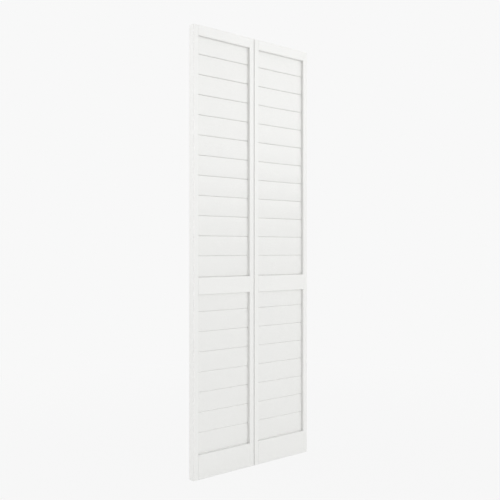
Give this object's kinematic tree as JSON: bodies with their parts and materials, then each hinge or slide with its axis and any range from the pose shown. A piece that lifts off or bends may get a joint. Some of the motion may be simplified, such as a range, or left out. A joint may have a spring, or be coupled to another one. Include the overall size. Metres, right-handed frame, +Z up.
{
  "type": "louvered bifold door",
  "caption": "Louvered bifold door with wide fixed louvres in white painted wooden frames. Its leaves fold on hinges at the back, and it hangs on pivots in one edge.",
  "frame": {"origin": "on the floor, under the middle of the closed door's box, hinge knuckles included", "axes": "+Z up along the stiles, +X across the door from the hung leaf to the lead leaf, -Y out of the front face into the room, +Y towards the hinge knuckles at the back"},
  "size_m": [0.6984, 0.0425, 2.0066],
  "materials": {
    "painted_frame": "white semi-gloss paint on smooth wood",
    "painted_louvre": "white semi-gloss paint on smooth wood",
    "hinge_steel": "zinc-plated pressed steel",
    "screw_steel": "zinc-plated steel"
  },
  "bodies": {
    "left_leaf": {"left_outer_stile": "painted_frame", "left_inner_stile": "painted_frame", "left_top_rail": "painted_frame", "left_mid_rail": "painted_frame", "left_bottom_rail": "painted_frame", "left_upper_louvre_01": "painted_louvre", "left_upper_louvre_02": "painted_louvre", "left_upper_louvre_03": "painted_louvre", "left_upper_louvre_04": "painted_louvre", "left_upper_louvre_05": "painted_louvre", "left_upper_louvre_06": "painted_louvre", "left_upper_louvre_07": "painted_louvre", "left_upper_louvre_08": "painted_louvre", "left_upper_louvre_09": "painted_louvre", "left_upper_louvre_10": "painted_louvre", "left_upper_louvre_11": "painted_louvre", "left_upper_louvre_12": "painted_louvre", "left_lower_louvre_01": "painted_louvre", "left_lower_louvre_02": "painted_louvre", "left_lower_louvre_03": "painted_louvre", "left_lower_louvre_04": "painted_louvre", "left_lower_louvre_05": "painted_louvre", "left_lower_louvre_06": "painted_louvre", "left_lower_louvre_07": "painted_louvre", "left_lower_louvre_08": "painted_louvre", "top_hinge_outer_plate": "hinge_steel", "middle_hinge_outer_plate": "hinge_steel", "bottom_hinge_outer_plate": "hinge_steel", "hinge_pins": "hinge_steel", "outer_plate_screws": "screw_steel"},
    "right_leaf": {"right_outer_stile": "painted_frame", "right_inner_stile": "painted_frame", "right_top_rail": "painted_frame", "right_mid_rail": "painted_frame", "right_bottom_rail": "painted_frame", "right_upper_louvre_01": "painted_louvre", "right_upper_louvre_02": "painted_louvre", "right_upper_louvre_03": "painted_louvre", "right_upper_louvre_04": "painted_louvre", "right_upper_louvre_05": "painted_louvre", "right_upper_louvre_06": "painted_louvre", "right_upper_louvre_07": "painted_louvre", "right_upper_louvre_08": "painted_louvre", "right_upper_louvre_09": "painted_louvre", "right_upper_louvre_10": "painted_louvre", "right_upper_louvre_11": "painted_louvre", "right_upper_louvre_12": "painted_louvre", "right_lower_louvre_01": "painted_louvre", "right_lower_louvre_02": "painted_louvre", "right_lower_louvre_03": "painted_louvre", "right_lower_louvre_04": "painted_louvre", "right_lower_louvre_05": "painted_louvre", "right_lower_louvre_06": "painted_louvre", "right_lower_louvre_07": "painted_louvre", "right_lower_louvre_08": "painted_louvre", "top_hinge_inner_plate": "hinge_steel", "middle_hinge_inner_plate": "hinge_steel", "bottom_hinge_inner_plate": "hinge_steel", "inner_plate_screws": "screw_steel"}
  },
  "joints": [
    {"name": "fold", "type": "hinge", "parent": "left_leaf", "child": "right_leaf", "pos_m": [0, 0.01775, 1.0033], "axis": [0, 0, 1], "range_deg": [0, 180]}
  ]
}
